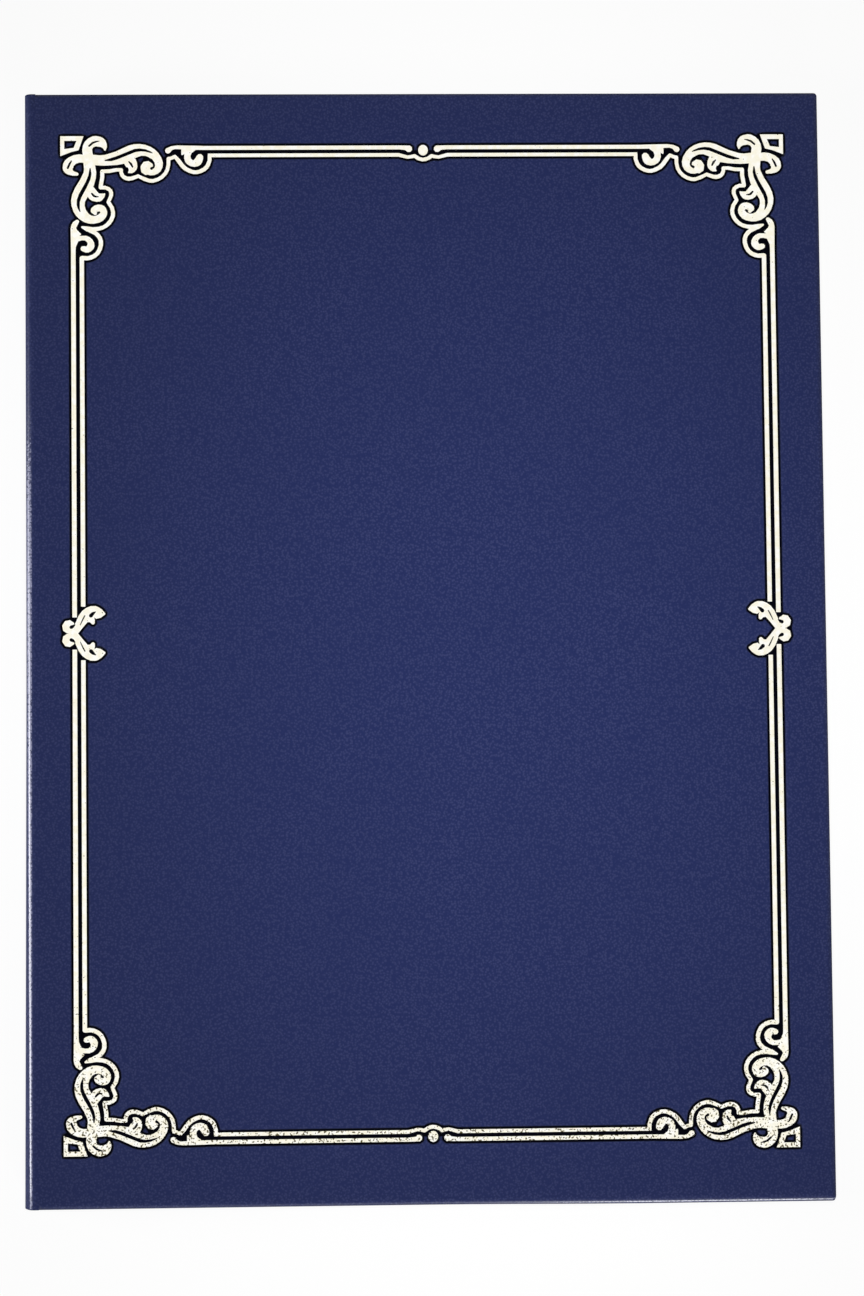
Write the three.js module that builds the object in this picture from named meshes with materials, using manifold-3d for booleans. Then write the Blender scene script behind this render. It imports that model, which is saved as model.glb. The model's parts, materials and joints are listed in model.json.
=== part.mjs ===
// A hard certificate holder that shuts like a book, with a gold border stamped on its front cover.
// It lies shut on its back cover: +X runs from the spine to the fore edge, +Y to the head and
// +Z out of the front cover. Sizes are in millimetres.
import * as THREE from "three";
import { mergeVertices } from "three/addons/utils/BufferGeometryUtils.js";
import Module from "manifold-3d";

const wasm = await Module();
wasm.setup();

// Cover
const coverWidth = 221.5;
const coverHeight = 308;
const coverCornerRadius = 1.5;
const coverEdgeRadius = 0.9;
const boardThickness = 2;
const leatherThickness = 0.4;
const turnInWidth = 15;
const mitreGap = 0.3;
const glueLine = 0.05;

// Spine and creases
const foldRadius = 2;
const creaseGap = 0.2;
const hingeGap = 0.95;
const spineStripThickness = 0.8;
const hingeClothThickness = 0.3;
const hingeClothWidth = 12;

// Lined panels
const panelMargin = 4;
const panelSpineMargin = 2.5;
const panelCornerRadius = 1;
const panelEdgeRadius = 0.4;
const cardThickness = 0.6;
const liningThickness = 0.25;
const liningTurnOver = 12;

// Corner ribbons
const ribbonWidth = 10;
const ribbonThickness = 0.25;
const ribbonReach = 50;
const ribbonTail = 14;
const certificateRoom = 0.3;
const closingGap = 0.3;

// Stamped border. Its margins run from the cover's edges to the centrelines of the outer rails.
const borderSideMargin = 13.4;
const borderEndMargin = 16.6;
const borderRise = 1.25;
const headRailWidth = 1.1;
const headLineWidth = 1;
const headLineInset = 2.1;
const sideRailWidth = 1.25;
const sideLineWidth = 1.2;
const sideLineInset = 2.35;
const sideScrollRise = 2.2;
const sideRailGap = 8.9;
const sideLineGap = 14.8;
const dotWidth = 2.7;
const dotHeight = 3;
const dotDrop = 0.8;
const foilThickness = 0.08;
const foilBond = 0.02;

// Fineness of the curves
const filletSteps = 2;
const cornerSteps = 2;
const foldSteps = 2;
const dotSteps = 8;
const strokeSteps = 6;
const capSteps = 3;
const chordError = 0.06;
const smallestCap = 0.35;
const filletShare = 0.45;
const cutMargin = 1;

// Heights through one cover, from its outer face inwards
const boardFloor = leatherThickness + glueLine;
const boardTop = boardFloor + boardThickness;
const turnInFloor = boardTop + glueLine;
const turnInTop = turnInFloor + leatherThickness;
const tailFloor = turnInTop + glueLine;
const tailTop = tailFloor + ribbonThickness;
const panelHeight = 2 * liningThickness + 2 * glueLine + cardThickness;
const backPanelFloor = tailTop + glueLine;
const frontPanelFloor = turnInTop + glueLine;
const ribbonFloor = backPanelFloor + panelHeight + certificateRoom;
const ribbonTop = ribbonFloor + ribbonThickness;
const bookThickness = ribbonTop + closingGap + frontPanelFloor + panelHeight;

// Places across the spine, from its outer face
const spineFace = -coverWidth / 2;
const stripFloor = leatherThickness + glueLine;
const stripTop = stripFloor + spineStripThickness;
const spineInside = stripTop + glueLine + Math.max(leatherThickness, hingeClothThickness);
const clothStep = hingeClothThickness + glueLine;
const boardSetback = Math.max(foldRadius, spineInside + clothStep) + hingeGap;
const creaseAngle = creaseGap / 2 / foldRadius;

// Outlines seen from above
const headEdge = coverHeight / 2;
const foreEdge = coverWidth / 2;
const wrap = leatherThickness + glueLine;
const coverOutline = { left: spineFace + boardSetback, right: foreEdge, tail: -headEdge, head: headEdge };
const boardOutline = {
  left: spineFace + boardSetback,
  right: foreEdge - wrap,
  tail: wrap - headEdge,
  head: headEdge - wrap,
};
const panelOutline = {
  left: spineFace + boardSetback + panelSpineMargin,
  right: foreEdge - panelMargin,
  tail: panelMargin - headEdge,
  head: headEdge - panelMargin,
};
const clothEnd = headEdge - turnInWidth - glueLine;

// Finishes
const leatherette = new THREE.MeshStandardMaterial({ color: 0x323a63, roughness: 0.55, metalness: 0 });
const greyboard = new THREE.MeshStandardMaterial({ color: 0x8b857a, roughness: 0.9, metalness: 0 });
const card = new THREE.MeshStandardMaterial({ color: 0xe8e4da, roughness: 0.85, metalness: 0 });
const lining = new THREE.MeshStandardMaterial({ color: 0xece3cf, roughness: 0.5, metalness: 0 });
const ribbon = new THREE.MeshStandardMaterial({ color: 0xe2cf9a, roughness: 0.4, metalness: 0 });
const foil = new THREE.MeshStandardMaterial({ color: 0xf2e6bf, roughness: 0.3, metalness: 1 });

// A closed geometry as a solid that can be joined and cut.
function toSolid(geometry) {
  const bare = geometry.clone();
  bare.deleteAttribute("normal");
  bare.deleteAttribute("uv");
  const merged = mergeVertices(bare);
  const vertProperties = merged.getAttribute("position").array;
  const triVerts = new Uint32Array(merged.index.array);
  return new wasm.Manifold(new wasm.Mesh({ numProp: 3, vertProperties, triVerts }));
}

function joined(solids) {
  return solids.reduce((whole, piece) => whole.add(piece));
}

function cut(solid, tools) {
  return tools.reduce((rest, tool) => rest.subtract(tool), solid);
}

function piece(name, material, solid) {
  const { vertProperties, triVerts } = solid.getMesh();
  const geometry = new THREE.BufferGeometry();
  geometry.setAttribute("position", new THREE.BufferAttribute(vertProperties, 3));
  geometry.setIndex(new THREE.BufferAttribute(triVerts, 1));
  const mesh = new THREE.Mesh(geometry, material);
  mesh.name = name;
  return mesh;
}

// An outline that is larger all round, or smaller where the amount is negative.
function grown(outline, amount) {
  return {
    left: outline.left - amount,
    right: outline.right + amount,
    tail: outline.tail - amount,
    head: outline.head + amount,
  };
}

function roundedShape({ left, right, tail, head }, radius) {
  const shape = new THREE.Shape();
  shape.moveTo(left + radius, tail);
  shape.absarc(right - radius, tail + radius, radius, -Math.PI / 2, 0);
  shape.absarc(right - radius, head - radius, radius, 0, Math.PI / 2);
  shape.absarc(left + radius, head - radius, radius, Math.PI / 2, Math.PI);
  shape.absarc(left + radius, tail + radius, radius, Math.PI, 1.5 * Math.PI);
  return shape;
}

// A flat shape raised between two heights.
function raised(shape, floor, top, curveSegments = cornerSteps) {
  const geometry = new THREE.ExtrudeGeometry(shape, {
    depth: top - floor,
    bevelEnabled: false,
    curveSegments,
  });
  return toSolid(geometry.translate(0, 0, floor));
}

function block({ left, right, tail, head }, floor, top) {
  const corners = [[left, tail], [right, tail], [right, head], [left, head]];
  return raised(new THREE.Shape(corners.map(([x, y]) => new THREE.Vector2(x, y))), floor, top);
}

function plate(outline, floor, top, corner) {
  return raised(roundedShape(outline, corner), floor, top);
}

// A plate whose upper and lower edges are rounded too.
function softPlate(outline, floor, top, corner, edge) {
  const fillet = Math.min(edge, filletShare * (top - floor), 2 * filletShare * corner);
  const geometry = new THREE.ExtrudeGeometry(roundedShape(outline, corner), {
    depth: top - floor - 2 * fillet,
    bevelThickness: fillet,
    bevelSize: fillet,
    bevelOffset: -fillet,
    bevelSegments: filletSteps,
    curveSegments: cornerSteps,
  });
  return toSolid(geometry.translate(0, 0, floor + fillet));
}

// A profile drawn across the spine (x to the right, z up), drawn out along the spine.
function drawnOut(profile, from, to) {
  const geometry = new THREE.ExtrudeGeometry(profile, {
    depth: to - from,
    bevelEnabled: false,
    curveSegments: foldSteps,
  });
  return toSolid(geometry.rotateX(Math.PI / 2).translate(0, to, 0));
}

function profileOf(corners) {
  return new THREE.Shape(corners.map(([x, z]) => new THREE.Vector2(x, z)));
}

// Joins a layer that runs the whole height with its turned-in ends at the tail and the head.
function turnedIn(sheet, turnIn, foldOver) {
  const ends = [[-headEdge, 1], [headEdge, -1]];
  const layers = ends.flatMap(([end, inwards]) => {
    const inner = end + inwards * turnInWidth;
    const fold = end + inwards * leatherThickness;
    return [
      drawnOut(turnIn, Math.min(end, inner), Math.max(end, inner)),
      drawnOut(foldOver, Math.min(end, fold), Math.max(end, fold)),
    ];
  });
  return joined([drawnOut(sheet, -headEdge, headEdge), ...layers]);
}

// The part of the cover's sheet that runs from the board to the middle of the crease, between two depths.
function lipProfile(outer, inner) {
  const centreX = spineFace + foldRadius;
  const start = -Math.PI / 2;
  const end = -0.75 * Math.PI + creaseAngle;
  const boardSide = spineFace + boardSetback + leatherThickness;
  const profile = new THREE.Shape();
  profile.moveTo(boardSide, outer);
  profile.absarc(centreX, foldRadius, foldRadius - outer, start, end, true);
  profile.absarc(centreX, foldRadius, foldRadius - inner, end, start, false);
  profile.lineTo(boardSide, inner);
  return profile;
}

// The leatherette of one cover: folded over the board on three sides, with a mitre at each fore corner,
// and carried on as a lip into the crease.
function coverLeatherette(name) {
  const open = { ...boardOutline, left: spineFace };
  const outside = { ...coverOutline, left: spineFace };
  const spineSide = { ...grown(outside, cutMargin), right: coverOutline.left };
  const window = {
    left: spineFace,
    right: foreEdge - turnInWidth,
    tail: turnInWidth - headEdge,
    head: headEdge - turnInWidth,
  };
  const pocket = plate(grown(open, glueLine), leatherThickness, turnInFloor, coverCornerRadius - leatherThickness);
  const shell = cut(softPlate(outside, 0, turnInTop, coverCornerRadius, coverEdgeRadius), [
    pocket,
    block(window, boardTop, turnInTop + cutMargin),
    block(spineSide, -cutMargin, turnInTop + cutMargin),
    ...[-1, 1].map(mitre),
  ]);
  const layers = 2 * leatherThickness + glueLine;
  const lip = turnedIn(
    lipProfile(0, leatherThickness),
    lipProfile(leatherThickness + glueLine, layers),
    lipProfile(0, layers),
  );
  const lipOnly = { ...spineSide, right: coverOutline.left + leatherThickness };
  const lipTrim = { ...lipOnly, left: coverOutline.left };
  const clearOfBoard = block(lipTrim, leatherThickness, turnInTop);
  return piece(name, leatherette, shell.add(lip.subtract(clearOfBoard)));
}

// The slit between two turn-ins where they meet at a fore corner.
function mitre(side) {
  const reach = (turnInWidth - coverCornerRadius) * Math.SQRT2;
  const slit = { left: 0, right: reach, tail: -mitreGap / 2, head: mitreGap / 2 };
  const place = new THREE.Matrix4()
    .makeRotationZ((side * Math.PI) / 4)
    .setPosition(foreEdge - turnInWidth, side * (headEdge - turnInWidth), 0);
  return block(slit, boardTop, turnInTop + cutMargin).transform(place.elements);
}

// The cloth inside the crease: over the board's inner face, down its edge and along the lip.
function coverHingeCloth(name) {
  const edge = spineFace + boardSetback;
  const foot = spineFace + foldRadius;
  const flat = leatherThickness + glueLine;
  const thickness = hingeClothThickness;
  const profile = profileOf([
    [foot, flat],
    [edge - glueLine, flat],
    [edge - glueLine, turnInFloor],
    [edge + hingeClothWidth, turnInFloor],
    [edge + hingeClothWidth, turnInFloor + thickness],
    [edge - glueLine - thickness, turnInFloor + thickness],
    [edge - glueLine - thickness, flat + thickness],
    [foot, flat + thickness],
  ]);
  return piece(name, leatherette, drawnOut(profile, -clothEnd, clothEnd));
}

// A card wrapped in satin, which covers the turn-ins.
function linedPanel(cover, floor) {
  const wall = liningThickness + glueLine;
  const cardOutline = grown(panelOutline, -wall);
  const cardFloor = floor + wall;
  const cardTop = cardFloor + cardThickness;
  const cardCorner = Math.max(panelCornerRadius - wall, glueLine);
  const window = block(grown(panelOutline, -liningTurnOver), floor - cutMargin, cardFloor);
  const pocket = plate(
    grown(cardOutline, glueLine),
    cardFloor - glueLine,
    cardTop + glueLine,
    cardCorner + glueLine,
  );
  const skin = softPlate(panelOutline, floor, floor + panelHeight, panelCornerRadius, panelEdgeRadius);
  return [
    piece(`${cover}_panel_card`, card, plate(cardOutline, cardFloor, cardTop, cardCorner)),
    piece(`${cover}_lining`, lining, cut(skin, [pocket, window])),
  ];
}

// One cover without its ribbons and border, lying on its outer face.
function coverBoards(cover, panelFloor) {
  const group = new THREE.Group();
  const boardCorner = Math.max(coverCornerRadius - wrap, glueLine);
  const board = plate(boardOutline, boardFloor, boardTop, boardCorner);
  group.add(piece(`${cover}_board`, greyboard, board));
  group.add(coverLeatherette(`${cover}_leatherette`));
  group.add(coverHingeCloth(`${cover}_hinge_cloth`));
  group.add(...linedPanel(cover, panelFloor));
  return group;
}

// A satin ribbon across one corner of the back panel. Both ends turn over the panel's edges and are
// glued behind it. Places are distances from the panel's corner along its two edges.
function cornerRibbon(name, foreSide, headSide) {
  const cornerX = foreSide > 0 ? panelOutline.right : panelOutline.left;
  const cornerY = headSide * panelOutline.head;
  const half = ribbonWidth / Math.SQRT2;
  const over = glueLine + ribbonThickness;
  const deep = ribbonTail / Math.SQRT2;
  const near = ribbonReach - half;
  const far = ribbonReach + half;
  const shapeAt = (corners) =>
    profileOf(corners.map(([a, b]) => [cornerX - foreSide * a, cornerY - headSide * b]));
  const swapped = (corners) => corners.map(([a, b]) => [b, a]);
  const band = [[near + over, -over], [far + over, -over], [-over, far + over], [-over, near + over]];
  const edge = [[near + over, -over], [far + over, -over], [far + glueLine, -glueLine], [near + glueLine, -glueLine]];
  const tail = [[near + over, -over], [far + over, -over], [far + deep, deep], [near + deep, deep]];
  const solids = [raised(shapeAt(band), ribbonFloor, ribbonTop)];
  for (const side of [(corners) => corners, swapped]) {
    solids.push(raised(shapeAt(side(edge)), tailFloor, ribbonTop));
    solids.push(raised(shapeAt(side(tail)), tailFloor, tailTop));
  }
  return piece(name, ribbon, joined(solids));
}

// The spine's sheet between two depths, round into the middle of each crease.
function spineProfile(outer, inner) {
  const centreX = spineFace + foldRadius;
  const upper = bookThickness - foldRadius;
  const bend = Math.PI / 4 - creaseAngle;
  const profile = new THREE.Shape();
  profile.absarc(centreX, upper, foldRadius - outer, Math.PI - bend, Math.PI, false);
  profile.absarc(centreX, foldRadius, foldRadius - outer, Math.PI, Math.PI + bend, false);
  profile.absarc(centreX, foldRadius, foldRadius - inner, Math.PI + bend, Math.PI, true);
  profile.absarc(centreX, upper, foldRadius - inner, Math.PI, Math.PI - bend, true);
  return profile;
}

// A flat strip down the spine between two depths.
function spineFlat(outer, inner, clearance) {
  const lower = foldRadius + clearance;
  const upper = bookThickness - foldRadius - clearance;
  return profileOf([
    [spineFace + outer, lower],
    [spineFace + inner, lower],
    [spineFace + inner, upper],
    [spineFace + outer, upper],
  ]);
}

function spine() {
  const group = new THREE.Group();
  const turnInDepth = stripTop + glueLine;
  const skin = turnedIn(
    spineProfile(0, leatherThickness),
    spineFlat(turnInDepth, turnInDepth + leatherThickness, 0),
    spineFlat(0, turnInDepth + leatherThickness, 0),
  );
  const strip = drawnOut(spineFlat(stripFloor, stripTop, glueLine), wrap - headEdge, headEdge - wrap);
  const clothProfile = spineFlat(turnInDepth, turnInDepth + hingeClothThickness, glueLine);
  group.add(piece("spine_leatherette", leatherette, skin));
  group.add(piece("spine_strip", greyboard, strip));
  group.add(piece("spine_hinge_cloth", leatherette, drawnOut(clothProfile, -clothEnd, clothEnd)));
  return group;
}

// The strokes of the border. Each point is [along, inwards, width] from the corner of the outer rails:
// along runs beside the head or tail edge, and inwards runs away from it.
const cornerScroll = {
  upperCurl: [[4.2, 2.4, 2.8], [3.95, 0.2, 2.7], [4.6, -1.2, 2.8], [6.1, -2, 2.9], [7.8, -1.6, 2.7],
    [8.75, -0.5, 1.5], [8.9, 0.45, 0.5]],
  sideCurl: [[4, 3, 2.2], [1.8, 2.85, 2.3], [0.1, 3.3, 2.5], [-1.2, 4.5, 2.9], [-1.3, 5.8, 2.9],
    [-0.4, 6.9, 1.5], [1.1, 7.25, 0.9]],
  headScroll: [[4.6, 3.2, 3], [8, 3.45, 2.9], [11.2, 3.05, 3.5], [14.2, 2.2, 4.2], [16.6, 0.95, 3.9],
    [19, 0.5, 3.25], [21.3, 1.1, 2.8], [22.9, 2.5, 2.6], [23.7, 4.3, 2.5], [23.3, 5.9, 2.3],
    [21.9, 6.85, 1.7], [20.6, 6.7, 1.4]],
  headBud: [[20.45, 5.85, 3.5], [20.55, 5.4, 3.6]],
  headLeaf: [[14.6, 2.6, 2.6], [15.9, 4, 3.4], [16.45, 5.3, 2.8], [16.1, 6.3, 1.8], [15.5, 6.8, 0.5]],
  sideScroll: [[4.3, 3, 3], [4.6, 5, 3.1], [4.7, 7, 3.5], [3.9, 9.6, 4.1], [2.4, 12.2, 4.2],
    [1.4, 14.5, 3.9], [1.5, 16.6, 3.5], [2.3, 18.3, 3.1], [4, 19.8, 2.5], [6, 20.1, 2.1], [7.6, 19.5, 2.1],
    [8.5, 18.2, 1.9], [8, 17, 1.9], [6.8, 16.8, 1.9], [5.8, 17.5, 1.9], [6.1, 18.3, 1]],
  sideLeaf: [[4.6, 11.6, 2.6], [5.6, 13.2, 3], [7, 13.8, 2.5], [8.1, 13.4, 1.5], [8.7, 12.9, 0.5]],
};
const cornerScrollGrooves = {
  upperCurl: [[4.5, -0.65, 0.55], [5.45, -1.5, 0.6], [6.4, -1.85, 0.5], [7.4, -2.05, 0.15]],
  sideCurl: [[-1.45, 5.55, 0.6], [-1.05, 4.6, 0.65], [-0.35, 3.45, 0.3]],
  headScroll: [[8.8, 3.45, 0.3], [10.5, 3.25, 0.85], [13, 2.4, 0.98], [15.5, 1.3, 0.95], [17.5, 0.6, 0.95],
    [19.5, 0.54, 0.75], [21, 0.95, 0.6], [22.1, 1.4, 0.2]],
  headBud: [[20.6, 2.9, 0.9], [21.7, 3.4, 0.8], [22.4, 4.3, 0.6], [22.5, 5.2, 0.5], [21.75, 5.75, 0.8]],
  headLeaf: [[15.4, 3.7, 0.3], [16.1, 4.4, 0.6], [16.5, 5.25, 0.5]],
  sideScroll: [[4.75, 5.6, 0.3], [4.75, 7.2, 0.8], [4.27, 8.95, 0.95], [3.17, 11.1, 1.05], [2.05, 13.1, 1.05],
    [1.45, 14.85, 0.95], [1.45, 16.4, 0.75], [1.95, 17.9, 0.2]],
  sideLeaf: [[5.2, 12.75, 0.5], [5.9, 13.5, 0.62], [7.1, 13.65, 0.2]],
};
const cornerSquare = [[-3.5, -3.4], [2.95, -3.4], [1.55, 0.55], [-0.4, 1], [-3.5, 2.2]];
const cornerSquareHole = [[-2.4, -2.1], [1, -2.1], [0.2, -0.1], [-2.4, 0.2]];

// The curled ends of the outer rails.
const headRailStart = 36;
const headRailEnd = {
  tip: [[26.35, 0.75, 1.6], [27.1, 0.15, 1.15], [28.3, -0.2, 0.95], [30.5, -0.15, 1.15], [33, -0.1, 1.2],
    [36.5, 0, headRailWidth]],
  cusp: [[31, 0.3, 2], [30.6, 1.2, 1.3], [30.2, 1.95, 0.25]],
  curl: [[33.6, 0.1, 1.3], [32.3, 0.9, 1.6], [31.7, 2.3, 1.75], [32.1, 3.7, 1.8], [33.4, 4.4, 1.8],
    [34.6, 3.9, 2.2], [35.2, 2.65, 1.95]],
};
const sideRailStart = 28.5;
const sideRailEnd = {
  tip: [[1.1, 20.6, 1.1], [0.45, 21.3, 1.5], [0.05, 22.4, 1.5], [0.3, 23.6, 2], [0.55, 24.8, 2.5],
    [0.35, 26.1, 2.1], [0.05, 27.4, 1.4], [0, 29, sideRailWidth]],
  cusp: [[0.9, 23.7, 1.4], [1.6, 24.1, 1], [2.15, 24.05, 0.25]],
  curl: [[0.8, 25.4, 1.6], [2.2, 25.2, 1.3], [3.7, 25.3, 1.4], [4.75, 26.3, 1.7], [4.85, 27.5, 2],
    [3.9, 28.4, 1.8], [2.75, 28.2, 1.5]],
};

// The inner line round a corner, from the head to the side, broken where it turns sharply.
const headLineStart = 37.45;
const sideLineStart = 30.6;
const cornerLine = {
  headLobe: [[37.9, headLineInset, 1], [37.9, 3.6, 1.05], [36.8, 5.7, 1.1], [34, 6.85, 1.05], [31, 5.7, 1.15],
    [29.4, 3.7, 1.15], [28.3, 2.4, 0.9]],
  headStep: [[28.3, 2.4, 1], [27.5, 2.8, 0.95], [26.5, 3, 1]],
  scrollLobe: [[26.5, 3, 1.05], [26.5, 4.4, 1], [26, 6.5, 1], [24.3, 8.4, 1], [21.8, 9.25, 1], [19.5, 8.6, 1],
    [18, 7.8, 0.9]],
  leafLobe: [[18.1, 7.85, 0.95], [16.7, 8.4, 1.05], [15.2, 8.6, 1.1], [13.9, 8, 1.05], [13.35, 6.9, 1],
    [13.4, 6.1, 0.9]],
  innerHead: [[13.4, 6.1, 0.95], [12.3, 6.05, 0.95], [10.5, 6.4, 1], [8.1, 6.5, 1]],
  innerSide: [[8.1, 6.5, 1.1], [8.15, 7.8, 1.1], [7.8, 9.6, 1.1], [7.65, 11.05, 1.1]],
  sideLeafLobe: [[7.7, 11.05, 1], [9.1, 11.1, 1], [10.35, 11.9, 1.05], [10.55, 13.2, 1.05], [9.7, 15.2, 0.9]],
  sideScrollLobe: [[9.8, 15.2, 1.05], [10.75, 16.7, 1.05], [11.05, 18.7, 1.1], [10.2, 20.7, 1.1],
    [8.4, 22.2, 1.05], [5.8, 22.8, 1.2], [4.1, 22.7, 1.5], [2.5, 22.15, 0.6]],
  sideLobe: [[4.4, 23.1, 0.9], [6.2, 23.85, 1.15], [7.5, 25.5, 1.15], [7.6, 27.5, 1.15], [6.5, 29.7, 1.15],
    [4.5, 30.8, 1.15], [2.35, 30.8, 1.2]],
};

// Strokes at the middle of the head and tail, as [from the middle, inwards, width].
const middleRailEnd = [[6.5, 0, headRailWidth], [4.9, 0.1, 1.3], [3.95, 0.4, 1.9]];
const middleRailStop = 6;
const middleWave = [[6.8, headLineInset, headLineWidth], [5.4, 2.5, 0.95], [4.1, 2.75, 0.9], [2.4, 2.4, 1]];
const middleDip = [[-2.4, 2.4, 1], [-1.3, 3.15, 1], [0, 3.45, 1], [1.3, 3.15, 1], [2.4, 2.4, 1]];
const middleLineStop = 6.6;

// Strokes of half a side scroll, as [in from the outer rail, from the scroll's middle, width].
const sideOrnament = {
  stem: [[-0.6, 0, 2.4], [0.9, 1.8, 2.2], [2.2, 3.8, 3], [3.2, 5.3, 2.9], [4.4, 6.4, 2.2], [5.8, 6.5, 2.1]],
  bud: [[6.2, 5.65, 3.3], [7.1, 5.5, 2.6], [8.4, 5.35, 0.3]],
  lobe: [[3.4, 4.4, 2.4], [4.6, 3.8, 1.9], [5, 3, 1.1]],
  curl: [[-1.7, 1.75, 3.5], [-1.65, 2, 3.5]],
};
const sideOrnamentGrooves = {
  eye: [[5.8, 6, 0.2], [5.05, 5.55, 0.8], [4.45, 4.9, 1.1]],
  curl: [[-0.95, 1.75, 1], [-0.5, 2, 0.9], [0.15, 2.5, 0.2]],
  stem: [[1.5, 2.3, 0.2], [2.1, 3.6, 0.4], [2.85, 5, 0.3]],
};

// Leaves out the points of a line that a straight run stands for.
function thinned([start, ...rest]) {
  if (!rest.length) {
    return [start];
  }
  const nearest = new THREE.Vector3();
  const farthest = rest.findLastIndex((end, index) => {
    const run = new THREE.Line3(start, end);
    return rest
      .slice(0, index)
      .every((point) => run.closestPointToPoint(point, true, nearest).distanceTo(point) < chordError);
  });
  return [start, ...thinned(rest.slice(farthest))];
}

// The round end of a stroke, from its right side to its left side.
function cap(tip, heading) {
  if (tip.z < smallestCap) {
    return [];
  }
  const turns = Array.from({ length: capSteps }, (_, step) => ((step + 1) / (capSteps + 1) - 0.5) * Math.PI);
  return turns.map((turn) => {
    const angle = heading + turn;
    return new THREE.Vector3(tip.x + (tip.z / 2) * Math.cos(angle), tip.y + (tip.z / 2) * Math.sin(angle), 0);
  });
}

// The outline of a stroke that swells and thins along a smooth line through its points.
function strokeShape(points, place) {
  const line = new THREE.CatmullRomCurve3(points.map((point) => new THREE.Vector3(...point)));
  const samples = line.getPoints((points.length - 1) * strokeSteps);
  const headings = samples.map((_, i) => {
    const from = samples[Math.max(i - 1, 0)];
    const to = samples[Math.min(i + 1, samples.length - 1)];
    return Math.atan2(to.y - from.y, to.x - from.x);
  });
  const side = (sign) =>
    samples.map(({ x, y, z }, i) => {
      const angle = headings[i] + (sign * Math.PI) / 2;
      return new THREE.Vector3(x + (z / 2) * Math.cos(angle), y + (z / 2) * Math.sin(angle), 0);
    });
  const last = samples.length - 1;
  const outline = [
    ...thinned(side(-1)),
    ...cap(samples[last], headings[last]),
    ...thinned(side(1)).reverse(),
    ...cap(samples[0], headings[0] + Math.PI),
  ];
  return profileOf(outline.map(({ x, y }) => place(x, y)));
}

function foilStroke(points, place) {
  return raised(strokeShape(points, place), 0, foilThickness);
}

function foilStrokes(strokes, place) {
  return Object.values(strokes).map((points) => foilStroke(points, place));
}

function foilGrooves(strokes, place) {
  return Object.values(strokes).map((points) =>
    raised(strokeShape(points, place), -cutMargin, foilThickness + cutMargin),
  );
}

// A straight run of a rail or line, whose sides lie along the cover's edges.
function foilBar(from, to, place) {
  const corners = [[from[0], from[1]], [to[0], from[1]], [to[0], to[1]], [from[0], to[1]]];
  return raised(profileOf(corners.map(([a, b]) => place(a, b))), 0, foilThickness);
}

const railX = foreEdge - borderSideMargin;
const railY = headEdge - borderEndMargin;
const sides = [["spine", -1], ["fore", 1]];
const ends = [["head", 1], ["tail", -1]];

function atCorner(foreSide, headSide) {
  return (along, inwards) => [foreSide * (railX - along), borderRise + headSide * (railY - inwards)];
}

function atMiddle(headSide, foreSide) {
  return (across, inwards) => [foreSide * across, borderRise + headSide * (railY - inwards)];
}

function atSide(foreSide, headSide) {
  return (inwards, up) => [foreSide * (railX - inwards), borderRise + sideScrollRise + headSide * up];
}

function squareInlay(name, place) {
  const square = profileOf(cornerSquare.map(([a, b]) => place(a, b)));
  const hole = profileOf(cornerSquareHole.map(([a, b]) => place(a, b)));
  const opening = raised(hole, -cutMargin, foilThickness + cutMargin);
  return piece(name, foil, raised(square, 0, foilThickness).subtract(opening));
}

function scrollInlay(name, place) {
  const scroll = joined(foilStrokes(cornerScroll, place));
  return piece(name, foil, cut(scroll, foilGrooves(cornerScrollGrooves, place)));
}

function headRailInlay(name, foreSide, headSide) {
  const place = atCorner(foreSide, headSide);
  const half = headRailWidth / 2;
  const strokes = [
    foilBar([headRailStart, -half], [railX - middleRailStop, half], place),
    ...foilStrokes(headRailEnd, place),
    foilStroke(middleRailEnd, atMiddle(headSide, foreSide)),
  ];
  return piece(name, foil, joined(strokes));
}

function sideRailInlay(name, foreSide, headSide) {
  const place = atCorner(foreSide, headSide);
  const half = sideRailWidth / 2;
  const stop = railY - headSide * sideScrollRise - sideRailGap / 2;
  const bar = foilBar([-half, sideRailStart], [half, stop], place);
  return piece(name, foil, joined([bar, ...foilStrokes(sideRailEnd, place)]));
}

// Half of the inner line: down both sides from the middle of the head or tail.
function lineInlay(name, headSide) {
  const headHalf = headLineWidth / 2;
  const sideHalf = sideLineWidth / 2;
  const stop = railY - headSide * sideScrollRise - sideLineGap / 2;
  const halves = sides.flatMap(([, foreSide]) => {
    const place = atCorner(foreSide, headSide);
    const middle = atMiddle(headSide, foreSide);
    return [
      foilBar(
        [headLineStart, headLineInset - headHalf],
        [railX - middleLineStop, headLineInset + headHalf],
        place,
      ),
      foilBar([sideLineInset - sideHalf, sideLineStart], [sideLineInset + sideHalf, stop], place),
      foilStroke(middleWave, middle),
      ...foilStrokes(cornerLine, place),
    ];
  });
  return piece(name, foil, joined([foilStroke(middleDip, atMiddle(headSide, 1)), ...halves]));
}

function sideInlay(name, foreSide) {
  const halves = ends.map(([, headSide]) => atSide(foreSide, headSide));
  const strokes = halves.flatMap((place) => foilStrokes(sideOrnament, place));
  const grooves = halves.flatMap((place) => foilGrooves(sideOrnamentGrooves, place));
  return piece(name, foil, cut(joined(strokes), grooves));
}

function dotInlay(name, headSide) {
  const [x, y] = atMiddle(headSide, 1)(0, dotDrop);
  const shape = new THREE.Shape();
  shape.absellipse(x, y, dotWidth / 2, dotHeight / 2, 0, 2 * Math.PI);
  return piece(name, foil, raised(shape, 0, foilThickness, dotSteps));
}

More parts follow.
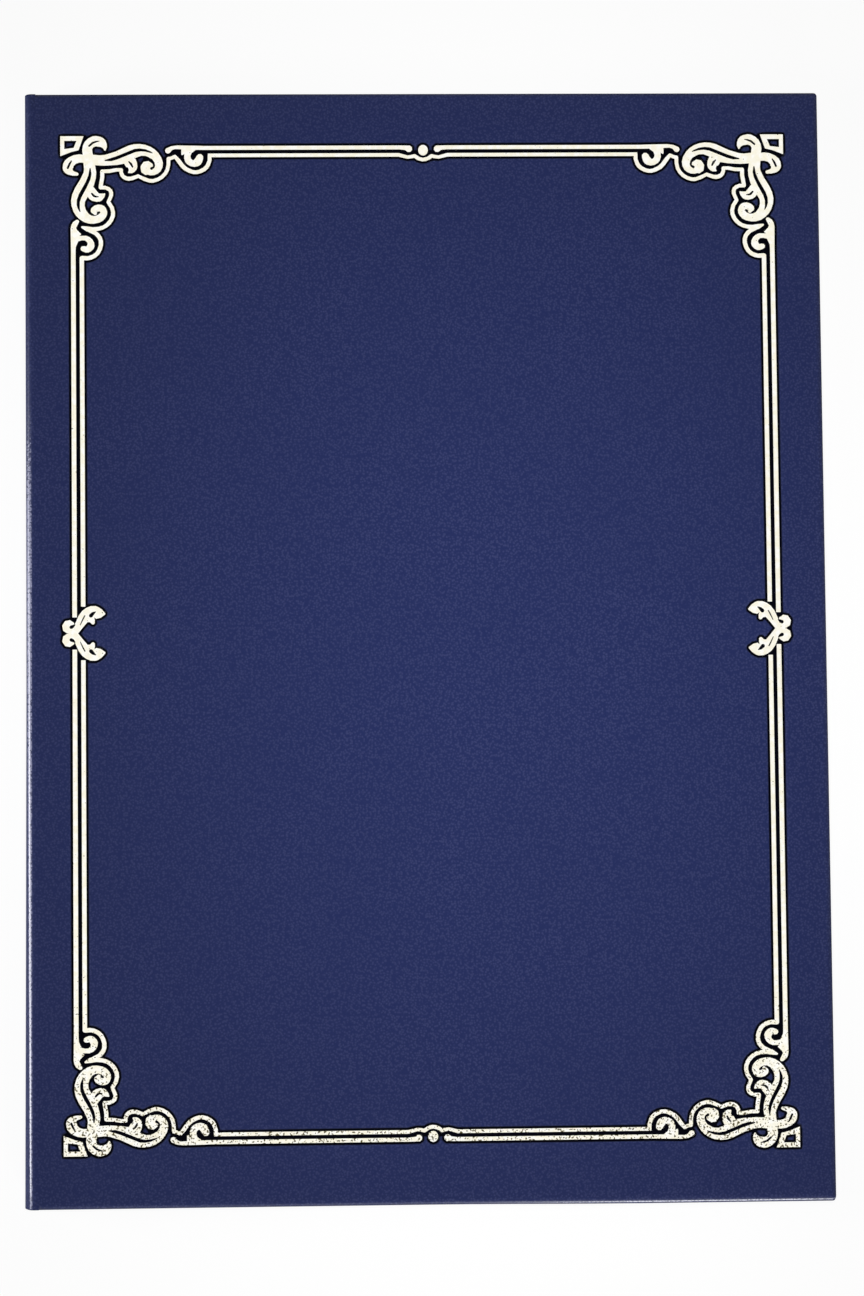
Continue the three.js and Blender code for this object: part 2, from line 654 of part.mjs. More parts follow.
// The whole stamped border, lying on the front cover's outer face.
function border() {
  const group = new THREE.Group();
  for (const [end, headSide] of ends) {
    for (const [side, foreSide] of sides) {
      const place = atCorner(foreSide, headSide);
      group.add(squareInlay(`corner_square_${end}_${side}`, place));
      group.add(scrollInlay(`corner_scroll_${end}_${side}`, place));
      group.add(headRailInlay(`${end}_rail_${side}`, foreSide, headSide));
      group.add(sideRailInlay(`${side}_rail_${end}`, foreSide, headSide));
    }
    group.add(lineInlay(`inner_line_${end}`, headSide));
    group.add(dotInlay(`middle_dot_${end}`, headSide));
  }
  for (const [side, foreSide] of sides) {
    group.add(sideInlay(`side_scroll_${side}`, foreSide));
  }
  return group;
}

const backCover = coverBoards("back", backPanelFloor);
for (const [end, headSide] of ends) {
  for (const [side, foreSide] of sides) {
    backCover.add(cornerRibbon(`ribbon_${end}_${side}`, foreSide, headSide));
  }
}

// The front cover is the same make as the back one, turned over head to tail above it.
const frontCover = coverBoards("front", frontPanelFloor);
frontCover.rotation.x = Math.PI;
frontCover.position.z = bookThickness;

const stampedBorder = border();
stampedBorder.position.z = bookThickness + foilBond;

const holder = new THREE.Group();
holder.add(backCover, spine(), frontCover, stampedBorder);

export default holder;
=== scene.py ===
"""A navy certificate holder, shut, with a stamped gold border on its front cover.

The holder lies on its back cover: +X runs from the spine to the fore edge, +Y to the head and +Z out of
the front cover. Shapes are worked out in millimetres and turned into metres where a mesh is made. A depth
is measured from a cover's outer face inwards, and an inset from its outline inwards.
"""
import json
import math

import bmesh
import bpy
import numpy as np
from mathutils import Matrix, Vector, geometry, kdtree


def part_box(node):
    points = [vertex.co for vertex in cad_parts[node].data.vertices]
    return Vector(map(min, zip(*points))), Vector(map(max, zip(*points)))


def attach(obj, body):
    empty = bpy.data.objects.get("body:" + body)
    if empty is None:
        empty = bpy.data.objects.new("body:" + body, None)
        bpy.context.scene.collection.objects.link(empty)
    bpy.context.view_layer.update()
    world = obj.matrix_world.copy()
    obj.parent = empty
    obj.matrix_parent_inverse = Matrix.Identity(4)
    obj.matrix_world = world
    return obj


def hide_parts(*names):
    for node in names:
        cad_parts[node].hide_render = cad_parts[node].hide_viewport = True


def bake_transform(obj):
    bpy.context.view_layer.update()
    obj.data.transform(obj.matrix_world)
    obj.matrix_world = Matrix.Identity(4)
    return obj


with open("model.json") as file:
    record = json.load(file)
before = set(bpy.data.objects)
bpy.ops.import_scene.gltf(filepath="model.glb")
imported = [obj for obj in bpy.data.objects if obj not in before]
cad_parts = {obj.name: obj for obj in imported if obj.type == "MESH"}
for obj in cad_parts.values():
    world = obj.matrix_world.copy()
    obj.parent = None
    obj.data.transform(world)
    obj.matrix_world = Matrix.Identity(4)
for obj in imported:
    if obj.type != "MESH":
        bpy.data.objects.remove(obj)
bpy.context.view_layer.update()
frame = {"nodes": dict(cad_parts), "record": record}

MM = 0.001
WELD = 0.001
SHARP_ANGLE = math.radians(50)

# Leatherette: OUTER_RADIUS rounds a cover's outer edges and EDGE_RADIUS its inner ones
LEATHER = 0.4
GLUE = 0.05
TWO_LAYERS = 2 * LEATHER + GLUE
FOLD_RADIUS = 2.0
OUTER_RADIUS = 1.4
EDGE_RADIUS = 0.9
CORNER_RADIUS = 1.0
TURN_IN = 15.0
TURN_IN_ROWS = (CORNER_RADIUS, 3.0, 6.0, TURN_IN)
MITRE_RADIUS = 0.12
MITRE_DEPTH = 0.2
CREASE_FLAT = 0.5

# The bulge of the spine's side, from BULGE_HEAD down to the tail, and of the front cover's tail edge
SPINE_BULGE = 0.9
BULGE_HEAD = 15.0
BULGE_RISE = 2.5
TAIL_BULGE = 0.4
TAIL_FADE = 60.0

# Glossier folds, measured from the outline, and bands worn glossier and painted with a pale highlight: across
# a spine fold, where the band narrows towards the tail and fades out above WEAR_AND_HIGHLIGHT_HEAD, and up
# from the front cover's tail edge
FOLD_CORE = 0.8
FOLD_FADE = 1.6
SPINE_WEAR_AND_HIGHLIGHT = (0.05, 0.3, 1.45, 1.95)
WEAR_AND_HIGHLIGHT_NARROWING = 0.4
WEAR_AND_HIGHLIGHT_HEAD = 30.0
WEAR_AND_HIGHLIGHT_FADE = 60.0
TAIL_WEAR_AND_HIGHLIGHT = (0.0, 0.12, 0.4, 0.7)

# The stamped hollow round the foil
SWELL = 0.15
HOLLOW_FLOOR = 0.01
RIM_ROWS = (0.3, 0.6, 0.9, 1.2)
RIM_WIDTH = 0.75
KEPT_DISTANCE = 0.97
# Close round the foil the leatherette is painted black as shade in the hollow: full within PRESSED_CORE,
# fading over PRESSED_FADE, and faces above BLACK_FROM get the black material
PRESSED_CORE = 0.5
PRESSED_FADE = 0.4
BLACK_FROM = 0.8
SAME_LEVEL = 0.01
OUTLINE_STEP = 0.7
FINE_STEP = OUTLINE_STEP / 6
FACE_INSET = 1.6
FACE_GRID = 6.0
CLEAR_OF_FOIL = 3.0

# Cloth in the creases, lined panels and ribbons
CLOTH = 0.3
CLOTH_UNDER_PANEL = 12.0
CLOTH_BEND = 1.0
CLOTH_LEAN = 0.4
LINING = 0.25
LINING_TURN_OVER = 12.0
UNDER_ROWS = (LINING_TURN_OVER, 5.0, 2.0)
PANEL_EDGE = 0.4
PANEL_CORNER = 1.0
PANEL_CROWN = 0.08
CROWN_REACH = 12.0
PANEL_ROWS = (1.0, 2.0, 4.0, 8.0, 16.0, 30.0, 50.0, 75.0)
RIBBON = 0.25
RIBBON_WIDTH = 10.0
RIBBON_REACH = 50.0
RIBBON_TAIL = 14.0
RIBBON_BOW = 0.12
SELVEDGE = 0.04

# A ribbon's rows and selvedge as shares of its width, its turn over a panel's edge as shares of the way up,
# and its upper side as shares of the way across the corner
RIBBON_ROWS = np.concatenate([[0, 0.02, 0.05], np.linspace(0.1, 0.9, 9), [0.95, 0.98, 1]])
SELVEDGE_SHARE = 0.05
TURN_SHARES = (0.15, 0.4, 0.65, 0.9)
UPPER_SHARES = np.linspace(0.012, 0.988, 41)
TURN_INSET = 0.05
TURN_LEAN = 0.1
TAIL_START = 0.4

# Steps or points along the lines that meshes are made of
EDGE_STEPS = 6
CORNER_STEPS = 6
BOARD_STEPS = 4
FOLD_STEPS = 12
SHORT_SIDE_POINTS = 25
LONG_SIDE_POINTS = 35
SPINE_SIDE_POINTS = 41
SPINE_POINTS = 4
LENGTH_POINTS = 30
PANEL_POINTS = 24
RIBBON_TAIL_POINTS = 5

# The photograph's camera, with its place in metres and its turn in degrees
LENS = 100.0
SENSOR = 36.0
CAMERA_PLACE = (-0.03624, -0.06846, 1.0013)
CAMERA_TURN = (3.892, -2.113, -0.601)

# The white floor, in metres: it looks white to the camera and stays a plain surface to all other rays
FLOOR_REACH = 6.0
FLOOR_LEVEL = -0.0002
FLOOR_GLOW = 1.06
GLOW_SHARE = 0.86


def box_mm(node):
    low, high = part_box(node)
    return np.array(low) / MM, np.array(high) / MM


front_low, front_high = box_mm("front_leatherette")
spine_x = box_mm("spine_leatherette")[0][0]
fore_x, head_y, book_top = front_high
cover_depth = book_top - front_low[2]
board_x = box_mm("front_board")[0][0]
front_face = book_top + SWELL
spine_middle = front_face / 2
FOIL_NODES = [s["node"] for s in frame["record"]["subparts"] if s["material_slot"] == "foil"]


# Curves and meshes


def smooth_step(t):
    t = np.clip(t, 0, 1)
    return t * t * (3 - 2 * t)


def band(values, start, full, fall, end):
    """1 from full to fall, fading to 0 at start and end."""
    rise = smooth_step((values - start) / (full - start))
    return rise * (1 - smooth_step((values - fall) / (end - fall)))


def towards_tail(y):
    """0 from the head to a little above the middle, rising to 1 at the tail."""
    return np.clip((BULGE_HEAD - y) / (BULGE_HEAD + head_y), 0, 1)


def arc(centre, radius, start, end, steps):
    """Points of an arc, with angles in degrees."""
    turns = np.radians(np.linspace(start, end, steps + 1))
    return [(centre[0] + radius * math.cos(t), centre[1] + radius * math.sin(t)) for t in turns]


class Surface:
    """Points in millimetres and the faces between them."""

    def __init__(self):
        self.points = []
        self.faces = []

    def add(self, points, faces):
        start = len(self.points)
        self.points.extend(tuple(map(float, p)) for p in points)
        self.faces.extend(tuple(start + i for i in face) for face in faces)

    def add_rows(self, rows, closed=False):
        """A net of four-sided faces between rows of equal length; closed joins each row's ends."""
        width = len(rows[0])
        columns = [(c, (c + 1) % width) for c in range(width if closed else width - 1)]
        faces = [
            (start + a, start + b, start + width + b, start + width + a)
            for start in range(0, (len(rows) - 1) * width, width)
            for a, b in columns
        ]
        self.add([p for row in rows for p in row], faces)

    def add_end(self, row):
        """One face with a row as its outline."""
        self.add(row, [tuple(range(len(row)))])


def make_piece(name, surface, material, faces_up=None, thickness=0.0):
    """A smooth mesh with its resting place kept in the attribute rest, in millimetres.

    faces_up is a point and a direction: the face nearest the point has to look that way.
    """
    mesh = bpy.data.meshes.new(name)
    mesh.from_pydata([tuple(c * MM for c in p) for p in surface.points], [], surface.faces)
    shape = bmesh.new()
    shape.from_mesh(mesh)
    bmesh.ops.remove_doubles(shape, verts=shape.verts, dist=WELD * MM)
    bmesh.ops.recalc_face_normals(shape, faces=shape.faces)
    if faces_up:
        point, direction = Vector(faces_up[0]) * MM, Vector(faces_up[1])
        nearest = min(shape.faces, key=lambda f: (f.calc_center_median() - point).length_squared)
        if nearest.normal.dot(direction) < 0:
            bmesh.ops.reverse_faces(shape, faces=shape.faces)
    shape.to_mesh(mesh)
    shape.free()
    piece = bpy.data.objects.new(name, mesh)
    bpy.context.scene.collection.objects.link(piece)
    if thickness:
        mesh = thickened(piece, thickness)
    mesh.shade_smooth()
    mesh.set_sharp_from_angle(angle=SHARP_ANGLE)
    places = np.zeros(len(mesh.vertices) * 3, np.float32)
    mesh.vertices.foreach_get("co", places)
    rest = mesh.attributes.new("rest", "FLOAT_VECTOR", "POINT")
    rest.data.foreach_set("vector", places / MM)
    mesh.materials.append(material)
    return piece


def thickened(piece, thickness):
    """The piece's mesh with its inner side added."""
    solid = piece.modifiers.new("thickness", "SOLIDIFY")
    solid.thickness = thickness * MM
    solid.offset = -1
    whole = bpy.data.meshes.new_from_object(piece.evaluated_get(bpy.context.evaluated_depsgraph_get()))
    piece.modifiers.clear()
    piece.data = whole
    return whole


# Marks that the leatherette's material reads


def set_values(piece, name, values):
    attribute = piece.data.attributes.new(name, "FLOAT", "POINT")
    attribute.data.foreach_set("value", values.astype(np.float32))


def rest_array(piece):
    places = np.zeros(len(piece.data.vertices) * 3, np.float32)
    piece.data.attributes["rest"].data.foreach_get("vector", places)
    return places.reshape(-1, 3)


def mark_folds(piece):
    """The attribute fold: 1 on the rounded edges of the covers and spine, 0 on their faces."""
    x, y, _ = rest_array(piece).T
    edge = np.minimum.reduce([x - spine_x, fore_x - x, head_y - abs(y)])
    set_values(piece, "fold", 1 - smooth_step((edge - FOLD_CORE) / FOLD_FADE))


def mark_wear_and_highlight(piece):
    """The attribute worn: 1 where the spine folds and the front cover's tail edge are worn glossy and get a
    painted pale highlight.
    """
    x, y, z = rest_array(piece).T
    from_axis = np.hypot(x - spine_x - FOLD_RADIUS, np.minimum(z, front_face - z) - FOLD_RADIUS)
    outside = (from_axis > FOLD_RADIUS - GLUE) * (abs(y) < head_y - LEATHER)
    narrower = WEAR_AND_HIGHLIGHT_NARROWING * towards_tail(y)
    start, full, fall, end = SPINE_WEAR_AND_HIGHLIGHT
    across = band(x - spine_x, start + narrower, full + narrower, fall - narrower, end - narrower)
    spine_fold = outside * across * (1 - smooth_step((y - WEAR_AND_HIGHLIGHT_HEAD) / WEAR_AND_HIGHLIGHT_FADE))
    tail_edge = band(y + head_y, *TAIL_WEAR_AND_HIGHLIGHT) * smooth_step(x / TAIL_FADE) * (z > book_top - EDGE_RADIUS)
    set_values(piece, "worn", np.maximum(spine_fold, tail_edge))


def mark_pressed_shade(skin, near_foil):
    """The attribute pressed: 1 close round the foil, where the colour is painted near black as shade in the
    hollow and the faces also get the black material.
    """
    places = rest_array(skin)
    share = 1 - smooth_step((distances(near_foil, places[:, :2]) - PRESSED_CORE) / PRESSED_FADE)
    share = np.where(places[:, 2] > book_top - cover_depth / 2, share, 0)
    set_values(skin, "pressed", share)
    skin.data.materials.append(hollow)
    for polygon in skin.data.polygons:
        polygon.material_index = int(share[list(polygon.vertices)].min() > BLACK_FROM)


# Materials

WHITE = (1, 1, 1, 1)
FLOOR_WHITE = (0.95, 0.95, 0.95, 1)
NAVY = (0.027, 0.036, 0.119, 1)
NAVY_CLOUD = (0.031, 0.04, 0.128, 1)
NAVY_VALLEY = (0.009, 0.0165, 0.085, 1)
# Paler navy painted on the grain tops of the folds as glints
NAVY_FOLD_GLINT = (0.075, 0.09, 0.24, 1)
# A pale lavender highlight painted along the spine fold and the front cover's tail edge
PAINTED_HIGHLIGHT = (0.27, 0.28, 0.44, 1)
# Near black painted as shade in the stamped hollow
HOLLOW_PAINTED_SHADE = (0.0012, 0.0014, 0.004, 1)
GOLD = (0.94, 0.9, 0.75, 1)
PALE_GOLD = (0.985, 0.975, 0.93, 1)
OLIVE = (0.12, 0.1, 0.045, 1)

# Where the foil starts to be flecked and where it is flecked most
FLECKS_FROM = -70.0
FLECKS_MOST = -140.0


def new_material(name, **settings):
    material = bpy.data.materials.new(name)
    material.use_nodes = True
    tree = material.node_tree
    shader = tree.nodes["Principled BSDF"]
    for socket, value in settings.items():
        shader.inputs[socket.replace("_", " ")].default_value = value
    return material, tree, shader


def add_node(tree, kind, inputs=None, **settings):
    made = tree.nodes.new("ShaderNode" + kind)
    for name, value in settings.items():
        setattr(made, name, value)
    for socket, value in (inputs or {}).items():
        if isinstance(value, bpy.types.NodeSocket):
            tree.links.new(value, made.inputs[socket])
        else:
            made.inputs[socket].default_value = value
    return made


def rest_places(tree):
    """The piece's resting place in millimetres, whatever its pose."""
    return add_node(tree, "Attribute", attribute_name="rest").outputs["Vector"]


def object_places(tree):
    """A carried-over node's place in millimetres."""
    place = add_node(tree, "TexCoord").outputs["Object"]
    return add_node(tree, "VectorMath", {0: place, 3: 1 / MM}, operation="SCALE").outputs["Vector"]


def mark(tree, name):
    return add_node(tree, "Attribute", attribute_name=name).outputs["Fac"]


def maths(tree, operation, first, second=0.0, clamp=False):
    made = add_node(tree, "Math", {0: first, 1: second}, operation=operation)
    made.use_clamp = clamp
    return made.outputs["Value"]


def scaled(tree, value, factor):
    return maths(tree, "MULTIPLY", value, factor)


def ramp(tree, value, low, high, to_low=0.0, to_high=1.0):
    """Value from low to high as a smooth rise from to_low to to_high."""
    made = add_node(
        tree, "MapRange", {0: value, 1: low, 2: high, 3: to_low, 4: to_high}, interpolation_type="SMOOTHSTEP"
    )
    return made.outputs["Result"]


def mix_colours(tree, share, first, second):
    made = add_node(tree, "Mix", {0: share, 6: first, 7: second}, data_type="RGBA")
    return made.outputs[2]


def noise(tree, place, scale, detail=2.0, rough=0.5):
    inputs = {"Vector": place, "Scale": scale, "Detail": detail, "Roughness": rough}
    return add_node(tree, "TexNoise", inputs).outputs["Fac"]


def bump(tree, shader, height, depth, strength=1.0):
    made = add_node(tree, "Bump", {"Height": height, "Distance": depth * MM, "Strength": strength})
    tree.links.new(made.outputs["Normal"], shader.inputs["Normal"])


def leather_height(tree, place):
    """Fine pebbles with soft valleys, from 0 to about 1."""
    pattern = {"Vector": place, "Scale": 1.5, "Smoothness": 0.6}
    cells = add_node(tree, "TexVoronoi", pattern, feature="SMOOTH_F1")
    pebbles = ramp(tree, cells.outputs["Distance"], 0.1, 0.7, to_low=1.0, to_high=0.0)
    return maths(tree, "ADD", pebbles, scaled(tree, noise(tree, place, scale=4.0), 0.5))


def leatherette_material():
    """Navy grained leatherette, glossier on its folds, with paler navy painted on the folds' grain tops as
    glints.

    It shines more where it is worn, and a pale band is painted there as a highlight. Round the stamping it is
    painted black as shade in the hollow, and dull.
    """
    material, tree, shader = new_material("navy_leatherette", Specular_IOR_Level=0.25, Coat_Roughness=0.25)
    place = rest_places(tree)
    pressed, fold, worn = (mark(tree, name) for name in ("pressed", "fold", "worn"))
    height = leather_height(tree, place)
    cloudy = ramp(tree, noise(tree, place, scale=0.03, detail=3.0), 0.3, 0.7)
    field = mix_colours(tree, cloudy, NAVY, NAVY_CLOUD)
    grained = mix_colours(tree, ramp(tree, height, 0.3, 1.2), NAVY_VALLEY, field)
    # Grain tops on the folds painted paler as glints
    painted_glints = maths(tree, "MULTIPLY", fold, ramp(tree, height, 0.6, 1.3, to_high=0.1))
    folded = mix_colours(tree, painted_glints, grained, NAVY_FOLD_GLINT)
    # A pale band painted as a highlight where worn, broken up by noise into grains
    highlight_grain = ramp(tree, noise(tree, place, scale=1.4, detail=3.0), 0.3, 0.7, to_low=-0.25, to_high=0.25)
    painted_highlight_share = ramp(tree, maths(tree, "ADD", scaled(tree, worn, 0.75), highlight_grain), 0.45, 0.75)
    whole = mix_colours(tree, painted_highlight_share, folded, PAINTED_HIGHLIGHT)
    tree.links.new(worn, shader.inputs["Coat Weight"])
    # Close round the foil the colour is painted near black as shade
    tree.links.new(mix_colours(tree, pressed, whole, HOLLOW_PAINTED_SHADE), shader.inputs["Base Color"])
    dull = maths(tree, "ADD", 0.44, scaled(tree, noise(tree, place, scale=1.1), 0.12))
    dull = maths(tree, "ADD", dull, scaled(tree, pressed, 0.35))
    dull = maths(tree, "SUBTRACT", dull, scaled(tree, fold, 0.1), clamp=True)
    tree.links.new(dull, shader.inputs["Roughness"])
    bump(tree, shader, height, depth=0.035, strength=0.8)
    return material


def hollow_shade_material():
    """The pressed leatherette close round the foil, painted black as shade in the hollow, and without gloss.
    """
    settings = {"Base_Color": HOLLOW_PAINTED_SHADE, "Roughness": 0.9, "Specular_IOR_Level": 0.03}
    material, tree, shader = new_material("pressed_leatherette_painted_shade", **settings)
    bump(tree, shader, leather_height(tree, rest_places(tree)), depth=0.02, strength=0.5)
    return material


def foil_material():
    """Pale gold foil that shows the grain under it, with olive flecks towards the tail."""
    material, tree, shader = new_material("gold_foil", Metallic=1.0)
    place = object_places(tree)
    height = leather_height(tree, place)
    up = add_node(tree, "SeparateXYZ", {0: place}).outputs["Y"]
    worn = ramp(tree, up, FLECKS_FROM, FLECKS_MOST, to_low=0.3, to_high=0.44)
    spots = noise(tree, place, scale=1.7, detail=3.0)
    flecks = ramp(tree, maths(tree, "SUBTRACT", worn, spots), 0.0, 0.035)
    tone = mix_colours(tree, ramp(tree, noise(tree, place, scale=0.7), 0.35, 0.7), GOLD, PALE_GOLD)
    tree.links.new(mix_colours(tree, flecks, tone, OLIVE), shader.inputs["Base Color"])
    dull = maths(tree, "ADD", 0.3, scaled(tree, noise(tree, place, scale=2.0), 0.12))
    tree.links.new(dull, shader.inputs["Roughness"])
    bump(tree, shader, height, depth=0.02, strength=0.5)
    return material


def satin_material(name, dark, light, moire):
    """Satin with fine threads, and the watered bands of moire where it is asked for."""
    settings = {"Sheen_Weight": 0.15, "Sheen_Roughness": 0.35, "Specular_IOR_Level": 0.4}
    material, tree, shader = new_material(name, **settings)
    place = rest_places(tree)
    stretch = add_node(tree, "VectorMath", {0: place, 1: (0.3, 1.0, 1.0)}, operation="MULTIPLY")
    slopes = scaled(tree, noise(tree, stretch.outputs["Vector"], scale=0.04, detail=1.5), 28.0)
    low, high = 0.5 - moire / 2, 0.5 + moire / 2
    water = ramp(tree, maths(tree, "SINE", slopes), -1.0, 1.0, to_low=low, to_high=high)
    pattern = {"Vector": place, "Scale": 0.9, "Distortion": 0.8}
    threads = add_node(tree, "TexWave", pattern, bands_direction="Y").outputs["Fac"]
    fine = scaled(tree, threads, 0.35)
    share = maths(tree, "SUBTRACT", maths(tree, "ADD", water, 0.2), fine, clamp=True)
    tree.links.new(mix_colours(tree, share, dark, light), shader.inputs["Base Color"])
    tree.links.new(ramp(tree, water, 0.0, 1.0, to_low=0.55, to_high=0.38), shader.inputs["Roughness"])
    bump(tree, shader, threads, depth=0.03, strength=0.6)
    return material


def board_material(name, dark, light):
    """Pressed paper fibre with darker specks."""
    material, tree, shader = new_material(name, Roughness=0.9)
    place = object_places(tree)
    fibres = noise(tree, place, scale=2.5, detail=4.0, rough=0.7)
    specks = ramp(tree, noise(tree, place, scale=1.2), 0.3, 0.42)
    tone = mix_colours(tree, fibres, dark, light)
    tree.links.new(mix_colours(tree, specks, dark, tone), shader.inputs["Base Color"])
    bump(tree, shader, fibres, depth=0.05, strength=0.4)
    return material


leatherette = leatherette_material()
# The black material painted as shade in the hollow round the foil
hollow = hollow_shade_material()
foil = foil_material()
lining_satin = satin_material(
    "cream_moire", dark=(0.7, 0.62, 0.47, 1), light=(0.86, 0.79, 0.66, 1), moire=0.45
)
ribbon_satin = satin_material(
    "gold_satin", dark=(0.5, 0.36, 0.13, 1), light=(0.76, 0.6, 0.29, 1), moire=0.0
)
greyboard = board_material("greyboard", dark=(0.13, 0.115, 0.09, 1), light=(0.3, 0.27, 0.22, 1))
card = board_material("white_card", dark=(0.62, 0.59, 0.53, 1), light=(0.82, 0.8, 0.74, 1))


# Leatherette of the covers


def wrap_ring(inset, depth):
    """Points (x, y, depth) round a cover's tail, fore edge and head, at an inset."""
    mitred = inset >= CORNER_RADIUS and depth > EDGE_RADIUS
    radius = MITRE_RADIUS if mitred else max(CORNER_RADIUS - inset, MITRE_RADIUS)
    right, high = fore_x - inset - radius, head_y - inset - radius
    along = np.linspace(board_x, right, SHORT_SIDE_POINTS)
    fore_edge = [(right + radius, y, depth) for y in np.linspace(-high, high, LONG_SIDE_POINTS)[1:-1]]
    points = [(x, -high - radius, depth) for x in along[:-1]]
    for turn, corner_y, after in ((-90, -high, fore_edge), (0, high, [])):
        corner = [(x, y, depth) for x, y in arc((right, corner_y), radius, turn, turn + 90, CORNER_STEPS)]
        if mitred:
            x, y, _ = corner[CORNER_STEPS // 2]
            corner[CORNER_STEPS // 2] = (x, y, depth - MITRE_DEPTH)
        points += corner + after
    return points + [(x, high + radius, depth) for x in along[::-1][1:]]


def wrap_profile(face):
    """(inset, depth) from the outer face, round the edge and over the inner face."""
    under = cover_depth - EDGE_RADIUS
    outer = arc((OUTER_RADIUS, face + OUTER_RADIUS), OUTER_RADIUS, -90, -180, EDGE_STEPS)
    inner = arc((EDGE_RADIUS, under), EDGE_RADIUS, 180, 90, EDGE_STEPS)
    turned = [(inset, cover_depth) for inset in TURN_IN_ROWS]
    return [(FACE_INSET, face), *outer, *inner, *turned]


def foil_outlines():
    """Closed outlines of every foil piece, each wound with the foil on its left."""
    loops = []
    for node in FOIL_NODES:
        mesh = frame["nodes"][node].data
        places = [tuple(np.round(np.array(v.co) / MM, 3)) for v in mesh.vertices]
        top = max(p[2] for p in places)
        sides = set()
        for polygon in mesh.polygons:
            corners = [places[i] for i in polygon.vertices]
            if min(p[2] for p in corners) > top - SAME_LEVEL:
                flat = [p[:2] for p in corners]
                sides |= set(zip(flat, flat[1:] + flat[:1]))
        follows = {a: b for a, b in sides if (b, a) not in sides}
        while follows:
            start, point = follows.popitem()
            loop = [start]
            while point != start:
                loop.append(point)
                point = follows.pop(point)
            loops.append(np.array(loop))
    return loops


def resampled(loop, step):
    """The loop's corners with points between them, no further apart than step."""
    points = []
    for a, b in zip(loop, np.roll(loop, -1, axis=0)):
        count = max(1, math.ceil(np.linalg.norm(b - a) / step))
        points += [a + (b - a) * i / count for i in range(count)]
    return np.array(points)


def tree_of(points):
    tree = kdtree.KDTree(len(points))
    for i, (x, y) in enumerate(points):
        tree.insert((x, y, 0), i)
    tree.balance()
    return tree


def distances(tree, points):
    return np.array([tree.find((x, y, 0))[2] for x, y in points])


def ring_edges(start, count):
    """Edges that join count points, from number start on, to a closed ring."""
    return [(start + i, start + (i + 1) % count) for i in range(count)]


def grid_inside(rim, step):
    """A grid of points in the box of rim, kept away from its sides."""
    low, high = np.min(rim, axis=0) + FACE_GRID / 2, np.max(rim, axis=0) - FACE_GRID / 2
    across, up = (np.arange(a, b, step) for a, b in zip(low, high))
    return np.array([(x, y) for x in across for y in up])


def triangulated(points, edges):
    """Triangles over points, inside the outline that edges give and along every edge."""
    inside, tolerance = 1, 1e-5
    flat = [Vector(p) for p in points]
    places, _, faces, *_ = geometry.delaunay_2d_cdt(flat, edges, [], inside, tolerance, False)
    return places, faces


def stamped_face(rim):
    """The front cover's face inside rim, pressed down to a flat floor under the foil."""
    loops = [resampled(loop, OUTLINE_STEP) for loop in foil_outlines()]
    near_foil = tree_of(np.vstack([resampled(loop, FINE_STEP) for loop in loops]))
    points, edges = [], []
    for loop in [np.array(rim), *loops]:
        edges += ring_edges(len(points), len(loop))
        points += [tuple(p) for p in loop]
    for loop in loops:
        run = np.roll(loop, -1, axis=0) - np.roll(loop, 1, axis=0)
        outwards = np.stack([run[:, 1], -run[:, 0]], axis=1) / np.linalg.norm(run, axis=1)[:, None]
        for row in RIM_ROWS:
            offset = loop + row * outwards
            points += [tuple(p) for p in offset[distances(near_foil, offset) > KEPT_DISTANCE * row]]
    field = grid_inside(rim, FACE_GRID)
    points += [tuple(p) for p in field[distances(near_foil, field) > CLEAR_OF_FOIL]]
    places, faces = triangulated(points, edges)
    flat = np.array([tuple(p) for p in places])
    floor = HOLLOW_FLOOR + SWELL
    sunk = floor * (1 - smooth_step(distances(near_foil, flat) / RIM_WIDTH))
    return [(x, y, s - SWELL) for (x, y), s in zip(flat, sunk)], faces, near_foil


def plain_face(rim):
    """A cover's bare face inside rim."""
    points = [tuple(p) for p in [*rim, *grid_inside(rim, 2 * FACE_GRID)]]
    places, faces = triangulated(points, ring_edges(0, len(rim)))
    return [(*p, 0.0) for p in places], faces


def cover_skin(name, base, inwards, stamped):
    """The leatherette of one cover, over its board and turned in on three sides."""
    profile = wrap_profile(-SWELL if stamped else 0.0)
    rings = [wrap_ring(*step) for step in profile]
    spine_side = np.linspace(head_y - FACE_INSET, FACE_INSET - head_y, SPINE_SIDE_POINTS)[1:-1]
    rim = [p[:2] for p in rings[0]] + [(board_x, y) for y in spine_side]
    if stamped:
        points, faces, near_foil = stamped_face(rim)
    else:
        points, faces = plain_face(rim)
    surface = Surface()
    surface.add(points, faces)
    surface.add_rows(rings)
    for side in (-1, 1):
        surface.add_rows(board_step(side))
        sleeve = edge_end(side, profile)
        surface.add_rows(sleeve)
        surface.add_end(sleeve[-1])
    surface.points = [(x, y, base + inwards * depth) for x, y, depth in surface.points]
    if stamped:
        surface.points = tail_bulged(surface.points)
    outside = ((0, 0, base), (0, 0, -inwards))
    skin = make_piece(name, surface, leatherette, outside, LEATHER - GLUE)
    if stamped:
        mark_pressed_shade(skin, near_foil)
    return skin


def tail_bulged(points):
    """The points of the front cover, with its tail edge standing out on the fore edge's half."""
    x, y, z = np.array(points).T
    edge = 1 - smooth_step((y + head_y) / EDGE_RADIUS)
    return np.stack([x, y - TAIL_BULGE * edge * smooth_step(x / TAIL_FADE), z], axis=1)


def board_step(side):
    """Rows of the turn-in where it steps down the board's edge into the crease, at the head or the tail."""
    down = board_x - LEATHER
    bend = arc((board_x, cover_depth - LEATHER), LEATHER, 90, 180, BOARD_STEPS)
    profile = [(board_x, cover_depth), *bend[1:], (down, cover_depth / 2), (down, TWO_LAYERS)]
    ends = [side * (head_y - CORNER_RADIUS), side * (head_y - TURN_IN)]
    return [[(x, y, depth) for x, depth in profile] for y in ends]


